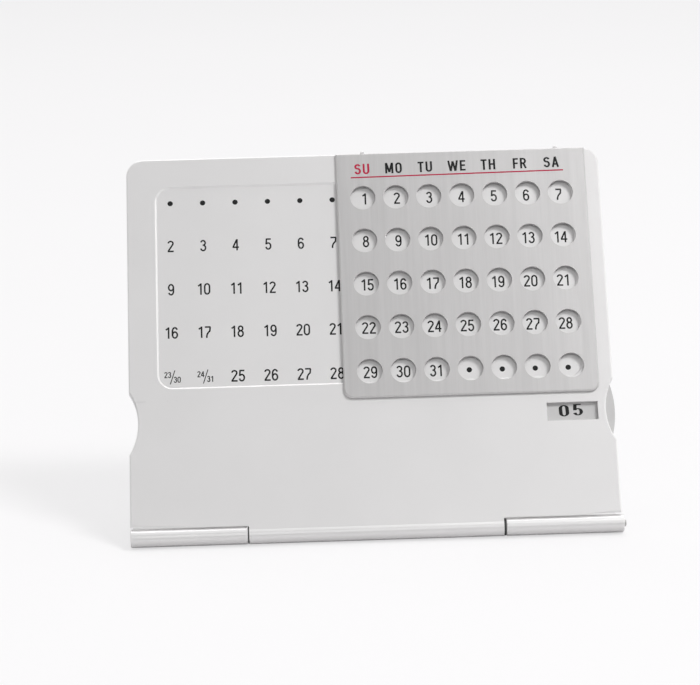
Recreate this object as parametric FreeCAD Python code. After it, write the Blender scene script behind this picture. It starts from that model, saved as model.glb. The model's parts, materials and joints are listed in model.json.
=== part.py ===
import FreeCAD, Part
import math
import os

# Perpetual desk calendar that folds like a thin book. A front panel carries the printed date field,
# a sliding plate with round date holes and a turning month dial. It leans back on a flat stand leaf,
# and a pin through a three-part barrel along the bottom edge joins the two.
# Millimetres. X runs to the viewer's right, Z up, and the front faces -Y.
# The origin is on the table, under the middle of the whole footprint.

V = FreeCAD.Vector

# Whole object
panel_width = 120.0        # both leaves are this wide
panel_height = 98.4        # hinge axis to the panel's top edge, along the panel
display_angle = 60.0       # between stand leaf and panel in the displayed pose
leaf_reach = 92.0          # hinge axis to the stand leaf's rear edge
corner_radius = 4.4        # free corners of both leaves
edge_bevel = 0.35          # softened edges

# Hinge barrel
barrel_radius = 2.225
face_offset = 2.05         # hinge axis to each leaf's outer face
middle_knuckle = 62.2      # length of the panel's knuckle
gap_left = 0.3             # washer gaps at the two ends of the middle knuckle
gap_right = 0.55
knuckle_relief = 0.62      # air between a leaf's edge and the other leaf's knuckle
knuckle_bevel = 0.2
knuckle_overhang = 0.5     # how far the right-hand knuckle stands out past the panel's side
pin_radius = 0.9
pin_stub = 0.6             # how far the pin stands out of the barrel's right end
pin_sink = 0.15            # how far it stays inside the left end
pin_bevel = 0.25
running_fit = 0.05         # radial clearance on the pin and the dial's axle
seat_fit = 0.03            # radial clearance of pieces that sit still
face_gap = 0.05            # clearance of flat faces that rub
washer_radius = 2.1
sleeve_radius = 1.5
sleeve_length = 8.0
sleeve_slit = 0.6

# Front panel
panel_thickness = 2.4
bottom_corner = 0.8
eased_length_left = 18.0   # lower edge's ends, eased off towards the panel's sides
eased_length_right = 11.7
eased_rise = 0.9
eased_depth = 0.4
recess_side_margin = 7.1   # panel's sides and top edge to the sunk date field
recess_top_margin = 7.55
recess_bottom = 37.2       # hinge axis to the date field's lower edge
recess_corner = 3.9
recess_depth = 0.45
recess_slope = 0.45        # how far the recess wall leans in
notch_height = 28.65       # hinge axis to the middle of the thumb notches and of the dial
notch_depth = 2.2
notch_chord = 16.0
seam_rise = 5.45           # thumb notches' middle to the faint seams beside them
seam_width = 0.22
seam_depth = 0.1
seam_length_left = 3.0
seam_length_right = 0.8

# Sliding plate
hole_columns = 7
hole_rows = 5
hole_pitch_x = 8.34
hole_pitch_y = 11.5
hole_radius = 3.2
holes_offset = 0.18        # holes' middle to the right of the hooks' middle
plate_top_drop = 0.25      # panel's top edge to the plate's
plate_margin_left = 6.55   # outer holes' centres to the plate's edges
plate_margin_right = 6.7
plate_margin_top = 12.1
plate_margin_bottom = 6.8
plate_corner = 2.3
plate_thickness = 0.7
plate_lift = 0.2           # plate's back to the panel's face
date_pitch = 8.2           # pitch of the printed columns, and so the plate's step
plate_steps = 6            # steps from one end of its travel to the other
hook_width = 0.9
hook_thickness = 0.4
hook_drop = 3.2            # how far a hook reaches down behind the top edge
hook_top_gap = 0.05
hook_end_gap = 0.15
hook_bend = 0.45
track_foot_gap = 0.25      # air under a hook's tip, in its track
glide_upper_width = 4.4
glide_lower_width = 2.2
glide_upper_inset = 1.6    # plate's top edge to the upper slip strip
glide_lower_inset = 1.05
glide_side_inset = 1.5

# Month dial
dial_radius = 24.2
dial_proud = 0.1           # how far the dial's rim stands out past the panel's side
dial_thickness = 0.5
dial_air = 0.2             # round the dial, in its pocket
window_width = 12.65
window_height = 4.7
window_reach = 13.6        # dial's centre to the window's middle
window_drop = 0.25
dial_wall = 1.0            # panel wall in front of the dial
axle_radius = 2.0
axle_head_radius = 2.5
axle_socket = 0.5          # depth of the axle's blind socket in the panel
dial_washer_radius = 6.0
dial_washer_thickness = 0.25

# Back cover and its screws
cover_thickness = 0.5
cover_inset = 1.0          # panel's sides to the cover
cover_foot = 3.5           # hinge axis to the cover's lower edge
cover_top_drop = 4.6       # panel's top edge to the cover's
cover_corner = 3.0
cover_top_corner = 0.6
cover_fit = 0.1
screw_shank = 0.8
screw_head = 1.4
screw_bite = 1.1           # how far a screw goes into the panel
screw_side_inset = 4.2     # cover's edges to the screws
screw_foot_inset = 3.0
screw_top_inset = 1.9

# Stand leaf and its feet
leaf_thickness = 1.5
foot_radius = 4.0
foot_stand = 0.3           # air under the barrel, the lowest hard part
foot_pocket = 0.5
foot_fit = 0.1
foot_side_inset = 11.0
foot_front = 11.0          # hinge axis to the front feet
foot_rear_inset = 9.0

# Worked out from the sizes above
barrel_end = panel_width / 2 + knuckle_overhang
middle_x = (panel_width / 2 - barrel_end - pin_stub) / 2   # sets the whole footprint's middle over the origin
hinge_z = foot_stand + barrel_radius
hinge_y = -(leaf_reach - barrel_radius) / 2
half_width = panel_width / 2
panel_back = face_offset - panel_thickness
cover_front = panel_back + cover_thickness
cover_top = panel_height - cover_top_drop
dial_x = half_width + dial_proud - dial_radius
dial_front = face_offset - dial_wall - face_gap
plate_travel = plate_steps * date_pitch
plate_middle = plate_travel / 2
holes_reach = (hole_columns - 1) * hole_pitch_x / 2
first_column = plate_middle + holes_offset - holes_reach
plate_left = first_column - plate_margin_left
plate_right = first_column + 2 * holes_reach + plate_margin_right
plate_top = panel_height - plate_top_drop
top_row = plate_top - plate_margin_top
plate_bottom = top_row - (hole_rows - 1) * hole_pitch_y - plate_margin_bottom
knuckle_left = -middle_knuckle / 2
knuckle_right = middle_knuckle / 2
relief_radius = barrel_radius + knuckle_relief
track_half = plate_travel + hook_width / 2 + hook_end_gap
track_foot = panel_height - hook_drop - track_foot_gap
notch_radius = (notch_chord ** 2 / 4 + notch_depth ** 2) / (2 * notch_depth)
notch_edge = half_width - notch_depth
beyond = 1.0               # how far cutting tools overrun the faces that they cut
corner_clear = 0.1         # a cut past a corner's arc clears it by this much


def stand_up(shape):
    """Turn a piece made flat about the hinge axis up to the displayed angle and set it on the hinge."""
    placed = shape.copy()
    placed.rotate(V(0, 0, 0), V(1, 0, 0), display_angle)
    placed.translate(V(middle_x, hinge_y, hinge_z))
    return placed


def lay_down(shape):
    """Set a piece of the stand, made about the hinge axis, on the hinge."""
    placed = shape.copy()
    placed.translate(V(middle_x, hinge_y, hinge_z))
    return placed


def slab(x0, x1, y0, y1, z0, z1):
    return Part.makeBox(x1 - x0, y1 - y0, z1 - z0, V(x0, y0, z0))


def rod(radius, x0, x1):
    """Round bar on the hinge axis from x0 to x1."""
    return Part.makeCylinder(radius, x1 - x0, V(x0, 0, 0), V(1, 0, 0))


def post(radius, x, y, z0, z1):
    """Round post standing square to the panel."""
    return Part.makeCylinder(radius, z1 - z0, V(x, y, z0), V(0, 0, 1))


def rounded_wire(x0, x1, y0, y1, low_radius, high_radius, z):
    """Rectangle with one radius on its two lower corners and another, or 0, on its two upper ones."""
    turn = math.sqrt(0.5)
    corners = [
        (x1, y0, low_radius, 1, -1),
        (x1, y1, high_radius, 1, 1),
        (x0, y1, high_radius, -1, 1),
        (x0, y0, low_radius, -1, -1),
    ]
    arcs = []
    for index, (x, y, radius, side_x, side_y) in enumerate(corners):
        centre_x = x - side_x * radius
        centre_y = y - side_y * radius
        on_side = V(x, centre_y, z)
        on_end = V(centre_x, y, z)
        middle = V(centre_x + side_x * radius * turn, centre_y + side_y * radius * turn, z)
        ends = (on_end, on_side) if index % 2 == 0 else (on_side, on_end)
        arcs.append((ends[0], middle, ends[1]))
    edges = []
    for index, (start, middle, end) in enumerate(arcs):
        if not start.isEqual(end, 1e-6):
            edges.append(Part.Arc(start, middle, end).toShape())
        edges.append(Part.makeLine(end, arcs[(index + 1) % 4][0]))
    return Part.Wire(edges)


def rounded_slab(x0, x1, y0, y1, low_radius, high_radius, z0, z1):
    wire = rounded_wire(x0, x1, y0, y1, low_radius, high_radius, z0)
    return Part.Face(wire).extrude(V(0, 0, z1 - z0))


def edges_at(shape, z, test):
    """Edges that lie wholly at one height and pass a test on their middle point."""
    found = []
    for edge in shape.Edges:
        box = edge.BoundBox
        if abs(box.ZMin - z) < 1e-4 and abs(box.ZMax - z) < 1e-4:
            middle = edge.valueAt((edge.FirstParameter + edge.LastParameter) / 2)
            if test(middle):
                found.append(edge)
    return found


def notch_tools(z0, z1, extra=0.0):
    """Two large posts that bite the thumb notches out of the sides."""
    reach = notch_edge + notch_radius
    left = post(notch_radius + extra, -reach, notch_height, z0, z1)
    right = post(notch_radius + extra, reach, notch_height, z0, z1)
    return [left, right]


def screw_places():
    side = half_width - cover_inset - screw_side_inset
    low = cover_foot + screw_foot_inset
    high = cover_top - screw_top_inset
    return [(x, y) for y in (low, high) for x in (-side, side)]


def cover_outline(z0, z1, grow):
    """The back cover's outline, or with grow the slightly larger rebate that it drops into."""
    side = half_width - cover_inset + grow
    body = rounded_slab(-side, side, cover_foot - grow, cover_top + grow,
                        cover_corner, cover_top_corner, z0, z1)
    return body.cut(notch_tools(z0 - beyond, z1 + beyond, cover_inset / 2 - grow))


def make_front_panel():
    """Front panel with its own third of the hinge barrel along the bottom."""
    body = rounded_slab(-half_width, half_width, 0, panel_height, bottom_corner, corner_radius,
                        panel_back, face_offset)
    body = body.cut(notch_tools(panel_back - beyond, face_offset + beyond))
    for x0, x1 in ((-half_width - beyond, knuckle_left), (knuckle_right, half_width + beyond)):
        body = body.cut(rod(relief_radius, x0, x1))
        body = body.cut(slab(x0, x1, -beyond, bottom_corner + corner_clear, panel_back - beyond,
                             face_offset + beyond))
    body = body.makeChamfer(edge_bevel, edges_at(body, face_offset, lambda p: p.y > relief_radius))
    body = body.cut([eased_corner(-1, eased_length_left), eased_corner(1, eased_length_right)])
    body = body.fuse(rod(barrel_radius, knuckle_left, knuckle_right))
    body = body.cut([date_recess()] + dial_hollows() + hinge_bores() + back_hollows() + seams())
    return body.removeSplitter()


def eased_corner(side, length):
    """Wedge that eases the lower front edge off, from nothing to its full size at the panel's side."""
    edge = math.sqrt(relief_radius ** 2 - face_offset ** 2)
    start = V(side * (half_width - length), edge, face_offset)
    overrun = 1 + beyond / length
    high = start + V(side * length, eased_rise, 0) * overrun
    deep = start + V(side * length, 0, -eased_depth) * overrun
    outer = start + V(side * length, -eased_rise / 2, eased_depth / 2) * overrun
    sides = [(start, high, deep), (start, high, outer), (start, deep, outer), (high, deep, outer)]
    faces = [Part.Face(Part.makePolygon([a, b, c, a])) for a, b, c in sides]
    return Part.Solid(Part.Shell(faces))


def date_recess():
    """Shallow sunk field with leaning walls, on which the dates are printed."""
    side = half_width - recess_side_margin
    top = panel_height - recess_top_margin
    rim = rounded_wire(-side, side, recess_bottom, top, recess_corner, recess_corner, face_offset)
    floor_corner = recess_corner - recess_slope
    floor = rounded_wire(-side + recess_slope, side - recess_slope, recess_bottom + recess_slope,
                         top - recess_slope, floor_corner, floor_corner,
                         face_offset - recess_depth)
    return Part.makeLoft([floor, rim], True, True)


def dial_hollows():
    """Window, dial pocket and blind axle socket."""
    pocket_front = face_offset - dial_wall
    window_x = dial_x + window_reach
    window_y = notch_height - window_drop
    window = slab(window_x - window_width / 2, window_x + window_width / 2,
                  window_y - window_height / 2, window_y + window_height / 2,
                  pocket_front - beyond / 2, face_offset + beyond)
    pocket = post(dial_radius + dial_air, dial_x, notch_height, panel_back - beyond, pocket_front)
    socket = post(axle_radius + seat_fit, dial_x, notch_height, panel_back - beyond,
                  pocket_front + axle_socket)
    return [window, pocket, socket]


def hinge_bores():
    """Bore for the pin, opened out at both ends for the friction sleeves."""
    bores = [rod(pin_radius + running_fit, knuckle_left - beyond, knuckle_right + beyond)]
    for x0, x1 in sleeve_spans(seat_fit):
        bores.append(rod(sleeve_radius + seat_fit, x0, x1))
    return bores


def back_hollows():
    """Rebate for the cover, track for the plate's hooks and holes for the cover's screws."""
    hollows = [cover_outline(panel_back - beyond, cover_front, cover_fit)]
    hollows.append(slab(-track_half, track_half, track_foot, panel_height + beyond,
                        panel_back - beyond, cover_front))
    for x, y in screw_places():
        hollows.append(post(screw_shank + seat_fit, x, y, panel_back - beyond,
                            cover_front + screw_bite + seat_fit))
    return hollows


def seams():
    """Faint seams that run in from the notches."""
    low = notch_height + seam_rise - seam_width / 2
    high = low + seam_width
    floor = face_offset - seam_depth
    top = face_offset + beyond
    side = math.sqrt(notch_radius ** 2 - seam_rise ** 2)
    edge = notch_edge + notch_radius - side
    left = slab(-half_width - beyond, -edge + seam_length_left, low, high, floor, top)
    right = slab(edge - seam_length_right, half_width + beyond, low, high, floor, top)
    return [left, right]


def sleeve_spans(extra=0.0):
    """Where the two friction sleeves lie, just inside the ends of the middle knuckle."""
    return [
        (knuckle_left - extra, knuckle_left + sleeve_length + extra),
        (knuckle_right - sleeve_length - extra, knuckle_right + extra),
    ]


def make_sleeve(x0, x1):
    """Split sleeve that grips the pin and holds the panel at its angle."""
    sleeve = rod(sleeve_radius, x0 + face_gap, x1 - face_gap)
    sleeve = sleeve.cut(rod(pin_radius + seat_fit, x0 - beyond, x1 + beyond))
    slit = slab(x0 - beyond, x1 + beyond, 0, sleeve_radius + beyond,
                -sleeve_slit / 2, sleeve_slit / 2)
    return sleeve.cut(slit)


def make_back_cover():
    """Thin sheet that closes the panel's back over the dial."""
    cover = cover_outline(panel_back, cover_front, 0)
    cone = Part.makeCone(axle_head_radius + seat_fit, axle_radius + seat_fit, cover_thickness,
                         V(dial_x, notch_height, panel_back), V(0, 0, 1))
    cuts = [cone]
    for x, y in screw_places():
        cuts.append(Part.makeCone(screw_head + seat_fit, screw_shank + seat_fit, cover_thickness,
                                  V(x, y, panel_back), V(0, 0, 1)))
    return cover.cut(cuts)


def make_screw(x, y):
    """Small countersunk screw, flush with the cover."""
    head = Part.makeCone(screw_head, screw_shank, cover_thickness, V(x, y, panel_back), V(0, 0, 1))
    screw = head.fuse(post(screw_shank, x, y, cover_front, cover_front + screw_bite))
    return screw.removeSplitter()


def make_disc_axle():
    """Flush rivet that the dial turns on."""
    head = Part.makeCone(axle_head_radius, axle_radius, cover_thickness,
                         V(dial_x, notch_height, panel_back), V(0, 0, 1))
    tip = face_offset - dial_wall + axle_socket - face_gap
    shank = post(axle_radius, dial_x, notch_height, cover_front, tip)
    return head.fuse(shank).removeSplitter()


def make_disc_washer():
    """Fibre washer that rubs on the dial, so that it keeps its place."""
    low = cover_front + face_gap
    ring = post(dial_washer_radius, dial_x, notch_height, low, low + dial_washer_thickness)
    return ring.cut(post(axle_radius + seat_fit, dial_x, notch_height, low - beyond, low + beyond))


def make_month_disc():
    """Thin dial whose rim shows, and is turned, in the right-hand notch."""
    low = dial_front - dial_thickness
    disc = post(dial_radius, dial_x, notch_height, low, dial_front)
    return disc.cut(post(axle_radius + running_fit, dial_x, notch_height, low - beyond,
                         dial_front + beyond))


def make_slider_plate():
    """Punched sheet with its date holes, hung on two narrow hooks over the panel's top edge."""
    back = face_offset + plate_lift
    front = back + plate_thickness
    plate = rounded_slab(plate_left, plate_right, plate_bottom, plate_top,
                         plate_corner, 0, back, front)
    plate = plate.makeChamfer(edge_bevel, edges_at(plate, front, lambda p: True))
    holes = []
    for column in range(hole_columns):
        for row in range(hole_rows):
            x = first_column + column * hole_pitch_x
            y = top_row - row * hole_pitch_y
            holes.append(post(hole_radius, x, y, back - beyond, front + beyond))
    plate = plate.cut(holes)
    hooks = [make_hook(plate_middle + side * plate_travel / 2) for side in (-1, 1)]
    return plate.fuse(hooks).removeSplitter()


def make_hook(x):
    """One narrow strip bent over the top edge and down into the track behind it."""
    back = face_offset + plate_lift
    rear = cover_front - face_gap
    low = panel_height - hook_drop
    inner_top = panel_height + hook_top_gap
    x0 = x - hook_width / 2
    outer = slab(x0, x0 + hook_width, low, inner_top + hook_thickness, rear - hook_thickness,
                 back + hook_thickness)
    bends = [edge for edge in outer.Edges
             if edge.BoundBox.XLength > hook_width / 2 and edge.BoundBox.YMin > inner_top]
    outer = outer.makeFillet(hook_bend, bends)
    return outer.cut(slab(x0 - beyond, x0 + hook_width + beyond, low - beyond, inner_top, rear, back))


def make_glide(low, high):
    """Slip strip glued behind the plate."""
    return slab(plate_left + glide_side_inset, plate_right - glide_side_inset, low, high,
                face_offset + face_gap, face_offset + plate_lift)


def make_stand_leaf():
    """Flat leaf that lies on the table, with the two outer thirds of the barrel."""
    low = -face_offset
    high = low + leaf_thickness
    left_end = knuckle_left - gap_left
    right_end = knuckle_right + gap_right
    body = rounded_slab(-half_width, half_width, 0, leaf_reach, bottom_corner, corner_radius, low, high)
    body = body.cut(slab(-half_width - beyond, half_width + beyond, -beyond, bottom_corner + corner_clear,
                         low - beyond, high + beyond))
    body = body.cut(rod(relief_radius, left_end, right_end))
    outer = edges_at(body, low, lambda p: p.y > relief_radius)
    inner = edges_at(body, high, lambda p: p.y > relief_radius)
    body = body.makeChamfer(edge_bevel, outer + inner)
    body = body.fuse([outer_knuckle(-half_width, left_end), outer_knuckle(right_end, barrel_end)])
    cuts = [rod(pin_radius + seat_fit, -half_width - beyond, barrel_end + beyond)]
    for x, y in foot_places():
        cuts.append(post(foot_radius + foot_fit, x, y, low - beyond, low + foot_pocket))
    return body.cut(cuts).removeSplitter()


def outer_knuckle(x0, x1):
    """One outer third of the barrel, its end edges softened, with the web that runs into the leaf."""
    barrel = rod(barrel_radius, x0, x1)
    ends = [edge for edge in barrel.Edges if edge.BoundBox.XLength < 1e-4]
    barrel = barrel.makeChamfer(knuckle_bevel, ends)
    web = slab(x0 + knuckle_bevel, min(x1, half_width) - knuckle_bevel, 0, relief_radius,
               -face_offset, -face_offset + leaf_thickness)
    return barrel.fuse(web)


def foot_places():
    side = half_width - foot_side_inset
    rear = leaf_reach - foot_rear_inset
    return [(-side, foot_front), (side, foot_front), (-side, rear), (side, rear)]


def make_foot(x, y):
    """Rubber button pressed into a pocket under the leaf."""
    return post(foot_radius, x, y, -barrel_radius - foot_stand, -face_offset + foot_pocket)


def make_hinge_pin():
    """Steel pin through all three knuckles, with a bevelled end that stands out at the right."""
    pin = rod(pin_radius, -half_width + pin_sink, barrel_end + pin_stub)
    end = [edge for edge in pin.Edges if edge.BoundBox.XMin > barrel_end]
    return pin.makeChamfer(pin_bevel, end)


def make_hinge_washer(x0, x1):
    washer = rod(washer_radius, x0 + face_gap, x1 - face_gap)
    return washer.cut(rod(pin_radius + seat_fit, x0 - beyond, x1 + beyond))


def panel_pieces():
    """Everything that turns with the panel, made flat about the hinge axis."""
    pieces = {
        "front_panel": make_front_panel(),
        "back_cover": make_back_cover(),
        "disc_axle": make_disc_axle(),
        "disc_washer": make_disc_washer(),
        "month_disc": make_month_disc(),
        "slider_plate": make_slider_plate(),
        "glide_strip_upper": make_glide(plate_top - glide_upper_inset - glide_upper_width,
                                        plate_top - glide_upper_inset),
        "glide_strip_lower": make_glide(plate_bottom + glide_lower_inset,
                                        plate_bottom + glide_lower_inset + glide_lower_width),
    }
    for side, span in zip(("left", "right"), sleeve_spans()):
        pieces["friction_sleeve_" + side] = make_sleeve(*span)
    for number, place in enumerate(screw_places(), 1):
        pieces["cover_screw_" + str(number)] = make_screw(*place)
    return pieces


def stand_pieces():
    """Everything that stays on the table with the stand leaf."""
    pieces = {
        "stand_leaf": make_stand_leaf(),
        "hinge_pin": make_hinge_pin(),
        "hinge_washer_left": make_hinge_washer(knuckle_left - gap_left, knuckle_left),
        "hinge_washer_right": make_hinge_washer(knuckle_right, knuckle_right + gap_right),
    }
    names = ("foot_front_left", "foot_front_right", "foot_rear_left", "foot_rear_right")
    for name, place in zip(names, foot_places()):
        pieces[name] = make_foot(*place)
    return pieces


finished = {name: stand_up(shape) for name, shape in panel_pieces().items()}
finished.update({name: lay_down(shape) for name, shape in stand_pieces().items()})
os.makedirs("parts", exist_ok=True)
for name, shape in finished.items():
    shape.exportStep("parts/" + name + ".step")
    print(name, len(shape.Solids), "solid(s),", round(shape.Volume, 2), "mm3, valid:", shape.isValid())
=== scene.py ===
import json
import math

import bpy
import numpy as np
from mathutils import Matrix, Vector


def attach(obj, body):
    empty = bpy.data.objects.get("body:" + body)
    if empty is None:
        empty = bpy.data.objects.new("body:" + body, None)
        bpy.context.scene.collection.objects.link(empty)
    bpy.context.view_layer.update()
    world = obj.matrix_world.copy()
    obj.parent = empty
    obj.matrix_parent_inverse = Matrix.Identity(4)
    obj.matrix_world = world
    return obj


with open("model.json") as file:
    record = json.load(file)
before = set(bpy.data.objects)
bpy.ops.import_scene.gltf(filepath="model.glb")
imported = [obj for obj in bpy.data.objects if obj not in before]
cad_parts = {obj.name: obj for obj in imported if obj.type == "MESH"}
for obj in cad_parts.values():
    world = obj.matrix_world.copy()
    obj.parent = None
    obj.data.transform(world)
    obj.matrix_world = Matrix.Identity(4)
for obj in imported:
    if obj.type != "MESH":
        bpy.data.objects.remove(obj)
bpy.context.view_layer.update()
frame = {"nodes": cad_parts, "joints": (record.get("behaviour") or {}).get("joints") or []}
nodes = frame["nodes"]
joints = {joint["name"]: joint for joint in frame["joints"]}

# Stand leaf
# Flat leaf that lies on the table, with the two outer thirds of the hinge barrel along its front edge.
# Aluminium under a satin silver lacquer, sprayed, with a very fine orange peel and a faint cloudiness.


class Value:
    """One shader value. Sums, differences and products of values add their own Math nodes."""

    def __init__(self, tree, socket=None):
        self.tree = tree
        self.socket = socket

    def node(self, kind, inputs, output=0, stops=None, **settings):
        """Adds a node: its settings and ramp stops first, then its sockets' values or links."""
        made = self.tree.nodes.new(kind)
        for name, setting in settings.items():
            setattr(made, name, setting)
        for index, (place, shade) in enumerate(stops or ()):
            ramp = made.color_ramp.elements
            stop = ramp[index] if index < 2 else ramp.new(place)
            stop.position = place
            stop.color = (shade, shade, shade, 1.0)
        self.feed(made, inputs)
        return Value(self.tree, made.outputs[output])

    def feed(self, made, inputs):
        for name, value in inputs.items():
            if isinstance(value, Value):
                self.tree.links.new(value.socket, made.inputs[name])
            else:
                made.inputs[name].default_value = value

    def sum(self, operation, first, second):
        return self.node("ShaderNodeMath", {0: first, 1: second}, operation=operation)

    def __add__(self, other):
        return self.sum("ADD", self, other)

    def __radd__(self, other):
        return self.sum("ADD", other, self)

    def __sub__(self, other):
        return self.sum("SUBTRACT", self, other)

    def __rsub__(self, other):
        return self.sum("SUBTRACT", other, self)

    def __mul__(self, other):
        return self.sum("MULTIPLY", self, other)

    def __rmul__(self, other):
        return self.sum("MULTIPLY", other, self)


def start_material(name):
    """New node material: gives it, its shader node and the place on the piece as a value."""
    material = bpy.data.materials.new(name)
    material.use_nodes = True
    tree = material.node_tree
    place = Value(tree).node("ShaderNodeTexCoord", {}, "Object")
    return material, tree.nodes["Principled BSDF"], place


def noise(place, scale, detail=2.0, roughness=0.5, stretch=(1.0, 1.0, 1.0), turn=(0.0, 0.0, 0.0)):
    """Fractal noise of a place that is first turned and then stretched."""
    turned = place.node("ShaderNodeMapping", {"Vector": place, "Rotation": turn})
    spread = place.node("ShaderNodeMapping", {"Vector": turned, "Scale": stretch})
    sockets = {"Vector": spread, "Scale": scale, "Detail": detail, "Roughness": roughness}
    return place.node("ShaderNodeTexNoise", sockets, "Fac")


def blend_colours(factor, first, second):
    sockets = {0: factor, 6: (*first, 1.0), 7: (*second, 1.0)}
    return factor.node("ShaderNodeMix", sockets, 2, data_type="RGBA")


def relief(height, strength, distance):
    sockets = {"Height": height, "Strength": strength, "Distance": distance}
    return height.node("ShaderNodeBump", sockets, "Normal")


def dress(names, material):
    for name in names:
        nodes[name].data.materials.clear()
        nodes[name].data.materials.append(material)


def silver_lacquer():
    material, shader, place = start_material("satin_silver_lacquer")
    cloud = noise(place, 55.0, 3.0)
    peel = noise(place, 5200.0, 2.0)
    place.feed(shader, {
        "Base Color": blend_colours(cloud, (0.825, 0.815, 0.815), (0.865, 0.855, 0.855)),
        "Metallic": 0.5,
        "Roughness": 0.26 + 0.02 * cloud + 0.03 * peel,
        "Normal": relief(peel, 0.12, 0.00001),
    })
    return material


lacquer = silver_lacquer()
dress(["stand_leaf"], lacquer)

# Hinge pin and washers
# A drawn steel pin runs through all three parts of the barrel, and its bevelled ends just stand out.
# A thin black plastic washer fills each gap beside the middle part; two split steel sleeves grip the pin.


def turned_steel(name, tint):
    """Drawn or turned steel: fine rings across the length, with a little spread in its polish."""
    material, shader, place = start_material(name)
    rings = noise(place, 900.0, 3.0, stretch=(9.0, 1.0, 1.0))
    smudge = noise(place, 400.0, 3.0)
    dark = tuple(0.86 * shade for shade in tint)
    place.feed(shader, {
        "Base Color": blend_colours(smudge, dark, tint),
        "Metallic": 1.0,
        "Roughness": 0.24 + 0.14 * rings,
        "Normal": relief(rings, 0.15, 0.000008),
    })
    return material


def moulded_plastic(name, dark, light, roughness):
    """Moulded plastic or rubber with a fine spark-eroded grain."""
    material, shader, place = start_material(name)
    grain = noise(place, 3800.0, 3.0)
    cloud = noise(place, 160.0, 2.0)
    place.feed(shader, {
        "Base Color": blend_colours(cloud, dark, light),
        "Roughness": roughness + 0.12 * grain,
        "Normal": relief(grain, 0.2, 0.00001),
    })
    return material


steel = turned_steel("drawn_steel", (0.62, 0.61, 0.60))
dress(["hinge_pin", "friction_sleeve_left", "friction_sleeve_right"], steel)
black_plastic = moulded_plastic("black_washer_plastic", (0.012, 0.012, 0.013), (0.03, 0.03, 0.032), 0.5)
dress(["hinge_washer_left", "hinge_washer_right", "disc_washer"], black_plastic)

# Rubber feet
# Four dark grey rubber buttons pressed into shallow pockets under the stand leaf.
# They lift the barrel and the leaf just off the table.
foot_rubber = moulded_plastic("foot_rubber", (0.03, 0.03, 0.031), (0.055, 0.055, 0.057), 0.72)
dress([name for name in nodes if name.startswith("foot_")], foot_rubber)

# Front panel and its printed dates
# The leaning panel has the same lacquer as the leaf. Its sunk field carries thirteen columns of dates,
# screen printed in near-black ink about a hundredth of a millimetre thick.
dress(["front_panel"], lacquer)
hinge = Vector(joints["panel_tilt"]["pos_m"])
across = Vector((1.0, 0.0, 0.0))
outward = Vector(joints["month_dial_spin"]["axis"])
upward = outward.cross(across)
panel_face = 0.00205
recess_depth = 0.00045
ink_sunk = 0.000004
ink_proud = 0.000010
date_pitch = 0.0082
date_columns = 13
dates_shift = 0.00007
dates_drop = 0.00036
dates_turn = math.radians(-0.33)
row_heights = (0.08655, 0.07505, 0.0635, 0.0521, 0.0405)
digit_height = 0.0030
digit_wide = 1.17
digit_stroke = 0.135
digit_gap = 0.085
dot_radius = 0.00068

# A style is a word's sideways stretch, the width of its upright and of its level strokes and, where
# it has its own, the gap between signs, all but the first as parts of the word's height.
split_style = (1.15, 0.16, 0.16)
split_first = (-0.00105, 0.00062)
split_second = (0.0013, -0.00065)
slash_style = (1.3, 0.075, 0.075)
slash_shift = 0.00015

# Each sign is its width and its strokes, with the sign's height as 1. A stroke runs through points
# (x, y) and parts of ellipses (centre x, centre y, half width, half height, first and last angle).
signs = {
    "0": (0.46, [[(0.23, 0.70, 0.17, 0.245, 0, 180), (0.23, 0.30, 0.17, 0.245, 180, 360), (0.40, 0.70)]]),
    "1": (0.40, [[(0.26, 1.0), (0.26, 0.0)], [(0.06, 0.765), (0.26, 0.93)]]),
    "2": (0.46, [[(0.23, 0.75, 0.17, 0.195, 172, -28), (0.075, 0.10)], [(0.02, 0.055), (0.45, 0.055)]]),
    "3": (0.46, [[(0.22, 0.745, 0.155, 0.20, 165, -100)], [(0.225, 0.30, 0.17, 0.245, 100, -168)]]),
    "4": (0.47, [[(0.31, 0.97), (0.04, 0.30)], [(0.0, 0.285), (0.46, 0.285)], [(0.325, 1.0), (0.325, 0.0)]]),
    "5": (0.46, [[(0.08, 0.945), (0.41, 0.945)], [(0.105, 0.99), (0.072, 0.47)],
                 [(0.222, 0.325, 0.172, 0.27, 136, -165)]]),
    "6": (0.46, [[(0.232, 0.315, 0.168, 0.26, 0, 360)],
                 [(0.062, 0.315), (0.232, 0.66, 0.17, 0.285, 180, 22)]]),
    "7": (0.45, [[(0.02, 0.945), (0.43, 0.945)], [(0.40, 0.93), (0.62, 0.06, 0.47, 0.62, 122, 186)]]),
    "8": (0.46, [[(0.23, 0.75, 0.145, 0.195, 0, 360)], [(0.23, 0.30, 0.17, 0.245, 0, 360)]]),
    "9": (0.46, [[(0.228, 0.685, 0.168, 0.26, 0, 360)],
                 [(0.398, 0.685), (0.228, 0.34, 0.17, 0.285, 0, -158)]]),
    "/": (0.30, [[(0.0, -0.1), (0.30, 1.1)]]),
}


def stroke_line(parts, step=9.0):
    """Centre line of a stroke: its points, and each ellipse at even angles, end to end."""
    found = []
    for part in parts:
        if len(part) == 2:
            found.append(np.array([part], float))
            continue
        centre_x, centre_y, half_width, half_height, first, last = part
        angles = np.radians(np.linspace(first, last, max(3, round(abs(last - first) / step) + 1)))
        arc = (centre_x + half_width * np.cos(angles), centre_y + half_height * np.sin(angles))
        found.append(np.stack(arc, 1))
    line = np.concatenate(found)
    apart = np.linalg.norm(np.diff(line, axis=0), axis=1) > 1e-6
    line = line[np.concatenate([[True], apart])]
    closed = np.linalg.norm(line[0] - line[-1]) < 1e-6
    return (line[:-1] if closed else line), closed


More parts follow.
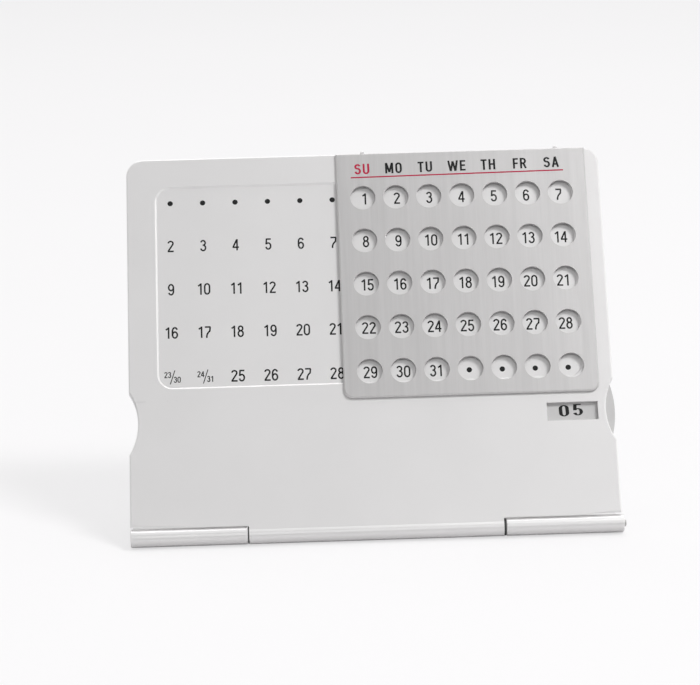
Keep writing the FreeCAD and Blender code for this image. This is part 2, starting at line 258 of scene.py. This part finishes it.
def stroke_bar(line, closed, thick, thin):
    """Flat bar along a line, as points (x, y, side) and faces.

    Each edge is the line plus or minus the mitre of its two neighbouring unit normals,
    whose sideways part is taken times half of thick and whose upright part times half of thin.
    """
    ahead = np.roll(line, -1, 0) - line
    if not closed:
        ahead[-1] = ahead[-2]
    ahead /= np.linalg.norm(ahead, axis=1)[:, None]
    behind = np.roll(ahead, 1, 0)
    if not closed:
        behind[0] = ahead[0]
    normals = [np.stack([-way[:, 1], way[:, 0]], 1) for way in (ahead, behind)]
    mitre = (normals[0] + normals[1]) / (1.0 + (normals[0] * normals[1]).sum(1))[:, None]
    reach = mitre * (thick / 2, thin / 2)
    count = len(line)
    corners = [(line - reach, 0), (line + reach, 0), (line + reach, 1), (line - reach, 1)]
    rings = np.stack([np.column_stack([flat, np.full(count, side)]) for flat, side in corners], 1)
    here = np.arange(count if closed else count - 1)[:, None]
    there = (here + 1) % count
    side = np.arange(4)[None, :]
    after = (side + 1) % 4
    faces = np.stack([here * 4 + side, there * 4 + side, there * 4 + after, here * 4 + after], 2)
    faces = faces.reshape(-1, 4)
    if not closed:
        last = (count - 1) * 4
        caps = np.array([[0, 1, 2, 3], [last + 3, last + 2, last + 1, last]])
        faces = np.concatenate([faces, caps])
    return rings.reshape(-1, 3), faces


def disc_bar(centre_x, centre_y, radius, count=24):
    """Round dot: a circle at both sides, with the circles as faces and a wall between them."""
    angles = np.linspace(0.0, 2 * math.pi, count, endpoint=False)
    ring = np.stack([centre_x + radius * np.cos(angles), centre_y + radius * np.sin(angles)], 1)
    points = np.concatenate([np.column_stack([ring, np.full(count, side)]) for side in (0, 1)])
    here = np.arange(count)
    there = (here + 1) % count
    wall = np.stack([here, there, there + count, here + count], 1).tolist()
    return points, wall + [here[::-1].tolist(), (here + count).tolist()]


def word_bars(word, height, wide, thick, thin, gap=digit_gap):
    """Bars of a whole word, centred on (0, 0): its signs stretched sideways by wide.

    The strokes' widths and the gap between signs are parts of the height.
    """
    width = sum(signs[sign][0] * wide for sign in word) + gap * (len(word) - 1)
    pen = -width / 2
    bars = []
    for sign in word:
        for parts in signs[sign][1]:
            line, closed = stroke_line(parts)
            points, faces = stroke_bar(line * (wide, 1.0), closed, thick, thin)
            points[:, 0] = (points[:, 0] + pen) * height
            points[:, 1] = (points[:, 1] - 0.5) * height
            bars.append((points, faces.tolist()))
        pen += signs[sign][0] * wide + gap
    return bars


def moved(bars, x, y, turn=0.0):
    """Bars turned about (0, 0) by an angle and then moved to (x, y)."""
    cos, sin = math.cos(turn), math.sin(turn)
    placed = []
    for points, faces in bars:
        turned = np.column_stack([
            x + points[:, 0] * cos - points[:, 1] * sin,
            y + points[:, 0] * sin + points[:, 1] * cos,
            points[:, 2],
        ])
        placed.append((turned, faces))
    return placed


def print_piece(name, bars, face, material, body):
    """One printed piece on a face that lies this far out from the hinge, along the panel's normal."""
    points, faces, count = [], [], 0
    for flat, corners in bars:
        points.append(flat)
        faces += [[index + count for index in corner] for corner in corners]
        count += len(flat)
    points = np.concatenate(points)
    lift = face - ink_sunk + points[:, 2] * (ink_sunk + ink_proud)
    axes = np.array([across, upward, outward])
    places = np.array(hinge) + np.column_stack([points[:, 0], points[:, 1], lift]) @ axes
    mesh = bpy.data.meshes.new(name)
    mesh.from_pydata(places.tolist(), [], faces)
    mesh.materials.append(material)
    piece = bpy.data.objects.new(name, mesh)
    bpy.context.scene.collection.objects.link(piece)
    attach(piece, body)
    return piece


def screen_ink(name, dark, light):
    """Screen printed ink: almost even, slightly rough, with tiny pinholes of a lighter shade."""
    material, shader, place = start_material(name)
    speck = noise(place, 9000.0, 4.0, 0.6)
    place.feed(shader, {
        "Base Color": blend_colours(speck, dark, light),
        "Roughness": 0.42 + 0.2 * speck,
        "Specular IOR Level": 0.2,
    })
    return material


black_ink = screen_ink("black_ink", (0.004, 0.004, 0.004), (0.016, 0.016, 0.017))


def date_bars():
    """Thirteen columns of dates: each row starts on its own date, and empty places hold a dot."""
    bars = []
    middle = row_heights[2]
    for row, row_height in enumerate(row_heights):
        height = row_height - middle
        for column in range(date_columns):
            x = (column - date_columns // 2) * date_pitch
            date = 7 * row + column - 5
            if row == 4 and column < 2:
                small = 0.5 * digit_height
                for word, (step_x, step_y) in ((str(date), split_first), (str(date + 7), split_second)):
                    bars += moved(word_bars(word, small, *split_style), x + step_x, height + step_y)
                bars += moved(word_bars("/", digit_height, *slash_style), x + slash_shift, height)
            elif 1 <= date <= 31:
                word = word_bars(str(date), digit_height, digit_wide, digit_stroke, digit_stroke)
                bars += moved(word, x, height)
            else:
                bars.append(disc_bar(x, height, dot_radius))
    return moved(bars, dates_shift, middle - dates_drop, dates_turn)


print_piece("date_print", date_bars(), panel_face - recess_depth, black_ink, "panel")

# Month dial
# A thin disc of light grey plastic on a rivet, with the months' numbers in bold ink around it.
# The numbers read outward, and the photographed dial stands a few degrees off its index.
dial_plastic = moulded_plastic("dial_plastic", (0.475, 0.47, 0.47), (0.515, 0.51, 0.51), 0.5)
dress(["month_disc"], dial_plastic)
dress(["disc_axle"], steel)
dial_depth = 0.00105
dial_face = panel_face - dial_depth
dial_centre = Vector(joints["month_dial_spin"]["pos_m"]) - hinge
dial_x = dial_centre.dot(across)
dial_y = dial_centre.dot(upward)
month_height = 0.0030
month_style = (1.6, 0.29, 0.09, 0.42)
month_reach = 0.0133
month_lag = math.radians(1.0)
month_lean = math.radians(1.6)
month_shown = 5


def month_bars():
    """Months' numbers round the dial: one each twelfth of a turn, counted from the one that shows."""
    bars = []
    for month in range(1, 13):
        turn = month_lag + (month - month_shown) * math.pi / 6
        x = dial_x + month_reach * math.cos(turn)
        y = dial_y + month_reach * math.sin(turn)
        word = word_bars(f"{month:02d}", month_height, *month_style)
        bars += moved(word, x, y, turn + month_lean)
    return bars


print_piece("month_print", month_bars(), dial_face, black_ink, "month_dial")

# Back cover and screws
# A thin lacquered sheet closes the panel's back. Four countersunk steel screws hold it, flush.
# Each head's cross recess is not cut: it is painted shade, two dark crossing bars on the head.
dress(["back_cover"], lacquer)
screws = sorted(name for name in nodes if name.startswith("cover_screw_"))
dress(screws, steel)
cross_length = 0.0015
cross_width = 0.00032
# Painted shade: near-black ink for the screws' cross recesses, which are not cut into the heads.
shadow_paint = screen_ink("screw_recess_painted_shade", (0.01, 0.01, 0.01), (0.03, 0.03, 0.03))


def screw_ends(name):
    """Corners of a screw as (across, upward, outward) from the hinge; the head's are furthest back."""
    corners = np.array([corner.co[:] for corner in nodes[name].data.vertices]) - np.array(hinge)
    return corners @ np.array([across, upward, outward]).T


screw_back = min(screw_ends(name)[:, 2].min() for name in screws)


def cross_bars():
    """Two bars of painted shade, in place of the shaded cross recess, that cross in the middle of each
    screw's head, an eighth of a turn to both sides.
    """
    bars = []
    arm = np.array([[-cross_length / 2, 0.0], [cross_length / 2, 0.0]])
    for name in screws:
        corners = screw_ends(name)
        x, y = (corners.min(0) + corners.max(0))[:2] / 2
        for turn in (math.pi / 4, -math.pi / 4):
            points, faces = stroke_bar(arm, False, cross_width, cross_width)
            bars += moved([(points, faces.tolist())], x, y, turn)
    return bars


cross_face = screw_back + ink_sunk - ink_proud
print_piece("screw_cross_painted_shade", cross_bars(), cross_face, shadow_paint, "panel")

# Sliding date plate
# A punched sheet of brushed aluminium, hung on two narrow hooks over the panel's top edge.
# It is brushed up and down, clear lacquered, and carries the weekday heading over a dark red rule.
brush_turn = (-math.acos(upward.y), 0.0, 0.0)


def brushed_sheet():
    material, shader, place = start_material("brushed_aluminium")
    fine = noise(place, 1.0, 4.0, 0.6, (9000.0, 90.0, 90.0), brush_turn)
    broad = noise(place, 1.0, 3.0, 0.5, (1100.0, 22.0, 22.0), brush_turn)
    streak = 0.6 * fine + 0.4 * broad
    place.feed(shader, {
        "Base Color": blend_colours(streak, (0.55, 0.54, 0.54), (0.69, 0.68, 0.68)),
        "Metallic": 0.8,
        "Roughness": 0.28 + 0.12 * streak,
        "Normal": relief(streak, 0.25, 0.000012),
    })
    return material


dress(["slider_plate"], brushed_sheet())
slip_plastic = moulded_plastic("slip_strip_plastic", (0.62, 0.62, 0.60), (0.72, 0.72, 0.70), 0.6)
dress(["glide_strip_upper", "glide_strip_lower"], slip_plastic)
plate_rise = 0.0009
plate_face = panel_face + plate_rise
header_height = 0.00285
header_style = (1.22, 0.18, 0.155, 0.15)
header_pitch = 0.00802
header_middle = 0.02386
header_place = 0.09400
header_turn = math.radians(0.5)
rule_drop = 0.00224
rule_length = 0.05395
rule_width = 0.00035
signs.update({
    "S": (0.48, [[(0.24, 0.735, 0.16, 0.18, 12, 270), (0.24, 0.32, 0.165, 0.235, 90, -168)]]),
    "U": (0.50, [[(0.085, 1.0), (0.25, 0.30, 0.165, 0.215, 180, 360), (0.415, 1.0)]]),
    "M": (0.62, [[(0.085, 0.0), (0.085, 1.0)], [(0.535, 0.0), (0.535, 1.0)],
                 [(0.10, 1.0), (0.31, 0.12)], [(0.52, 1.0), (0.31, 0.12)]]),
    "O": (0.50, [[(0.25, 0.70, 0.165, 0.23, 0, 180), (0.25, 0.30, 0.165, 0.23, 180, 360), (0.415, 0.70)]]),
    "T": (0.44, [[(0.0, 0.92), (0.44, 0.92)], [(0.22, 0.92), (0.22, 0.0)]]),
    "W": (0.76, [[(0.06, 1.0), (0.21, 0.0)], [(0.38, 0.93), (0.21, 0.0)],
                 [(0.38, 0.93), (0.55, 0.0)], [(0.70, 1.0), (0.55, 0.0)]]),
    "E": (0.42, [[(0.085, 0.0), (0.085, 1.0)], [(0.085, 0.92), (0.42, 0.92)],
                 [(0.085, 0.52), (0.38, 0.52)], [(0.085, 0.08), (0.42, 0.08)]]),
    "H": (0.50, [[(0.085, 0.0), (0.085, 1.0)], [(0.415, 0.0), (0.415, 1.0)], [(0.085, 0.52), (0.415, 0.52)]]),
    "F": (0.40, [[(0.085, 0.0), (0.085, 1.0)], [(0.085, 0.92), (0.40, 0.92)], [(0.085, 0.50), (0.37, 0.50)]]),
    "R": (0.48, [[(0.085, 0.0), (0.085, 1.0)],
                 [(0.085, 0.92), (0.22, 0.71, 0.17, 0.21, 90, -90), (0.085, 0.50)],
                 [(0.25, 0.50), (0.42, 0.0)]]),
    "A": (0.52, [[(0.07, 0.0), (0.26, 1.0)], [(0.45, 0.0), (0.26, 1.0)], [(0.14, 0.30), (0.38, 0.30)]]),
})
red_ink = screen_ink("dark_red_ink", (0.33, 0.006, 0.035), (0.46, 0.012, 0.06))
weekdays = ("SU", "MO", "TU", "WE", "TH", "FR", "SA")


def weekday_bars(days):
    """Headings of some days of the week, at an even pitch about the fourth day, turned as one."""
    bars = []
    for index in days:
        word = word_bars(weekdays[index], header_height, *header_style)
        bars += moved(word, (index - 3) * header_pitch, 0.0)
    return moved(bars, header_middle, header_place, header_turn)


rule_line = np.array([[-rule_length / 2, -rule_drop], [rule_length / 2, -rule_drop]])
rule_points, rule_faces = stroke_bar(rule_line, False, rule_width, rule_width)
rule = moved([(rule_points, rule_faces.tolist())], header_middle, header_place, header_turn)
print_piece("weekday_print", weekday_bars(range(1, 7)), plate_face, black_ink, "slider")
print_piece("weekday_print_red", weekday_bars([0]) + rule, plate_face, red_ink, "slider")

# Table top
# A plain pale sheet, much larger than the view. Seen from above it is near white and keeps the
# calendar's shadow, and it throws a little less light back than it shows; from below it can be
# looked through.
floor_reach = 4.0
glow_part = 0.66
glow_colour = (0.985, 0.98, 0.985, 1.0)
thrown_back = (0.56, 0.555, 0.56, 1.0)


def table_paper():
    material, shader, place = start_material("table_paper")
    tree = material.node_tree
    cloud = noise(place, 6.0, 2.0)
    seen = place.node("ShaderNodeLightPath", {}, "Is Camera Ray")
    sheet = blend_colours(cloud, (0.71, 0.70, 0.71), (0.735, 0.725, 0.735))
    shown = place.node("ShaderNodeMix", {0: seen, 6: thrown_back, 7: sheet}, 2, data_type="RGBA")
    place.feed(shader, {"Base Color": shown, "Roughness": 0.9})
    glow = place.node("ShaderNodeEmission", {"Color": glow_colour, "Strength": 1.0})
    lit = Value(tree, shader.outputs[0])
    paper = place.node("ShaderNodeMixShader", {0: glow_part * seen, 1: lit, 2: glow})
    clear = place.node("ShaderNodeBsdfTransparent", {})
    below = place.node("ShaderNodeNewGeometry", {}, "Backfacing")
    both = place.node("ShaderNodeMixShader", {0: below, 1: paper, 2: clear})
    place.feed(tree.nodes["Material Output"], {"Surface": both})
    return material


floor_mesh = bpy.data.meshes.new("table_top")
floor_corners = [(x * floor_reach, y * floor_reach, 0.0) for x, y in ((-1, -1), (1, -1), (1, 1), (-1, 1))]
floor_mesh.from_pydata(floor_corners, [], [(0, 1, 2, 3)])
floor_mesh.materials.append(table_paper())
floor = bpy.data.objects.new("table_top", floor_mesh)
bpy.context.scene.collection.objects.link(floor)

# Light
# A soft key lamp stands high at the front right, a second one high behind, and a faint one at the
# right. The room is pale overhead, behind and low in front, with a darker band high in front,
# which shows as the grey band along the lacquered barrel.
world = bpy.data.worlds.new("pale_room")
bpy.context.scene.world = world
world.use_nodes = True
room = Value(world.node_tree)
way = room.node("ShaderNodeTexCoord", {}, "Generated")
height = room.node("ShaderNodeSeparateXYZ", {0: way}, "Z")
depth = 0.5 + 0.5 * room.node("ShaderNodeSeparateXYZ", {0: way}, "Y")
front_stops = ((0.0, 0.33), (0.31, 0.33), (0.37, 0.93), (0.59, 0.93), (0.65, 0.32), (0.84, 0.32),
               (0.90, 0.60))
back_stops = ((0.0, 0.70), (0.59, 0.70), (0.65, 0.42), (0.84, 0.42), (0.90, 0.60))
front = room.node("ShaderNodeValToRGB", {"Fac": height}, "Color", front_stops)
back = room.node("ShaderNodeValToRGB", {"Fac": height}, "Color", back_stops)
behind = room.node("ShaderNodeValToRGB", {"Fac": depth}, "Color", ((0.47, 0.0), (0.53, 1.0)))
pale = room.node("ShaderNodeMix", {0: behind, 6: front, 7: back}, 2, data_type="RGBA")
seen = room.node("ShaderNodeLightPath", {}, "Is Camera Ray")
shade = room.node("ShaderNodeMix", {0: seen, 6: pale, 7: (1.0, 1.0, 1.0, 1.0)}, 2, data_type="RGBA")
room.feed(world.node_tree.nodes["Background"], {"Color": shade, "Strength": 1.0})


def soft_lamp(name, place, size, power):
    """Square area lamp at a place, turned to face the calendar."""
    lamp = bpy.data.lights.new(name, "AREA")
    lamp.shape = "SQUARE"
    lamp.size = size
    lamp.energy = power
    stand = bpy.data.objects.new(name, lamp)
    aim = Vector((0.0, 0.0, 0.04))
    stand.location = place
    stand.rotation_euler = (aim - Vector(place)).to_track_quat("-Z", "Y").to_euler()
    bpy.context.scene.collection.objects.link(stand)


soft_lamp("key_lamp", (0.99, -0.73, 1.60), 0.6, 26.0)
soft_lamp("back_lamp", (0.0, 1.00, 1.90), 1.6, 14.5)
soft_lamp("side_lamp", (1.10, 0.0, 0.40), 0.7, 0.5)

# Camera
# It looks down at the calendar by twelve degrees, a little from the left, from about two thirds of
# a metre. Its place and directions are given along the panel's own width, height and normal.
picture_width = 700
focal_pixels = 2772.5
sensor_width = 36.0


def along_panel(x, up, out):
    return x * across + up * upward + out * outward


camera_data = bpy.data.cameras.new("camera")
camera_data.sensor_fit = "HORIZONTAL"
camera_data.sensor_width = sensor_width
camera_data.lens = focal_pixels / picture_width * sensor_width
camera_right = along_panel(0.9993, -0.0358, 0.0101).normalized()
camera_back = along_panel(-0.0207, -0.3098, 0.9506).normalized()
camera_up = camera_back.cross(camera_right)
camera_place = hinge + along_panel(-0.01913, -0.16583, 0.65594 + panel_face)
camera = bpy.data.objects.new("camera", camera_data)
camera_axes = Matrix((camera_right, camera_up, camera_back)).transposed().to_4x4()
camera.matrix_world = Matrix.Translation(camera_place) @ camera_axes
camera_data.clip_start = 0.01
camera_data.clip_end = 50.0
bpy.context.scene.collection.objects.link(camera)
bpy.context.scene.camera = camera
bpy.context.scene.view_settings.view_transform = "Standard"
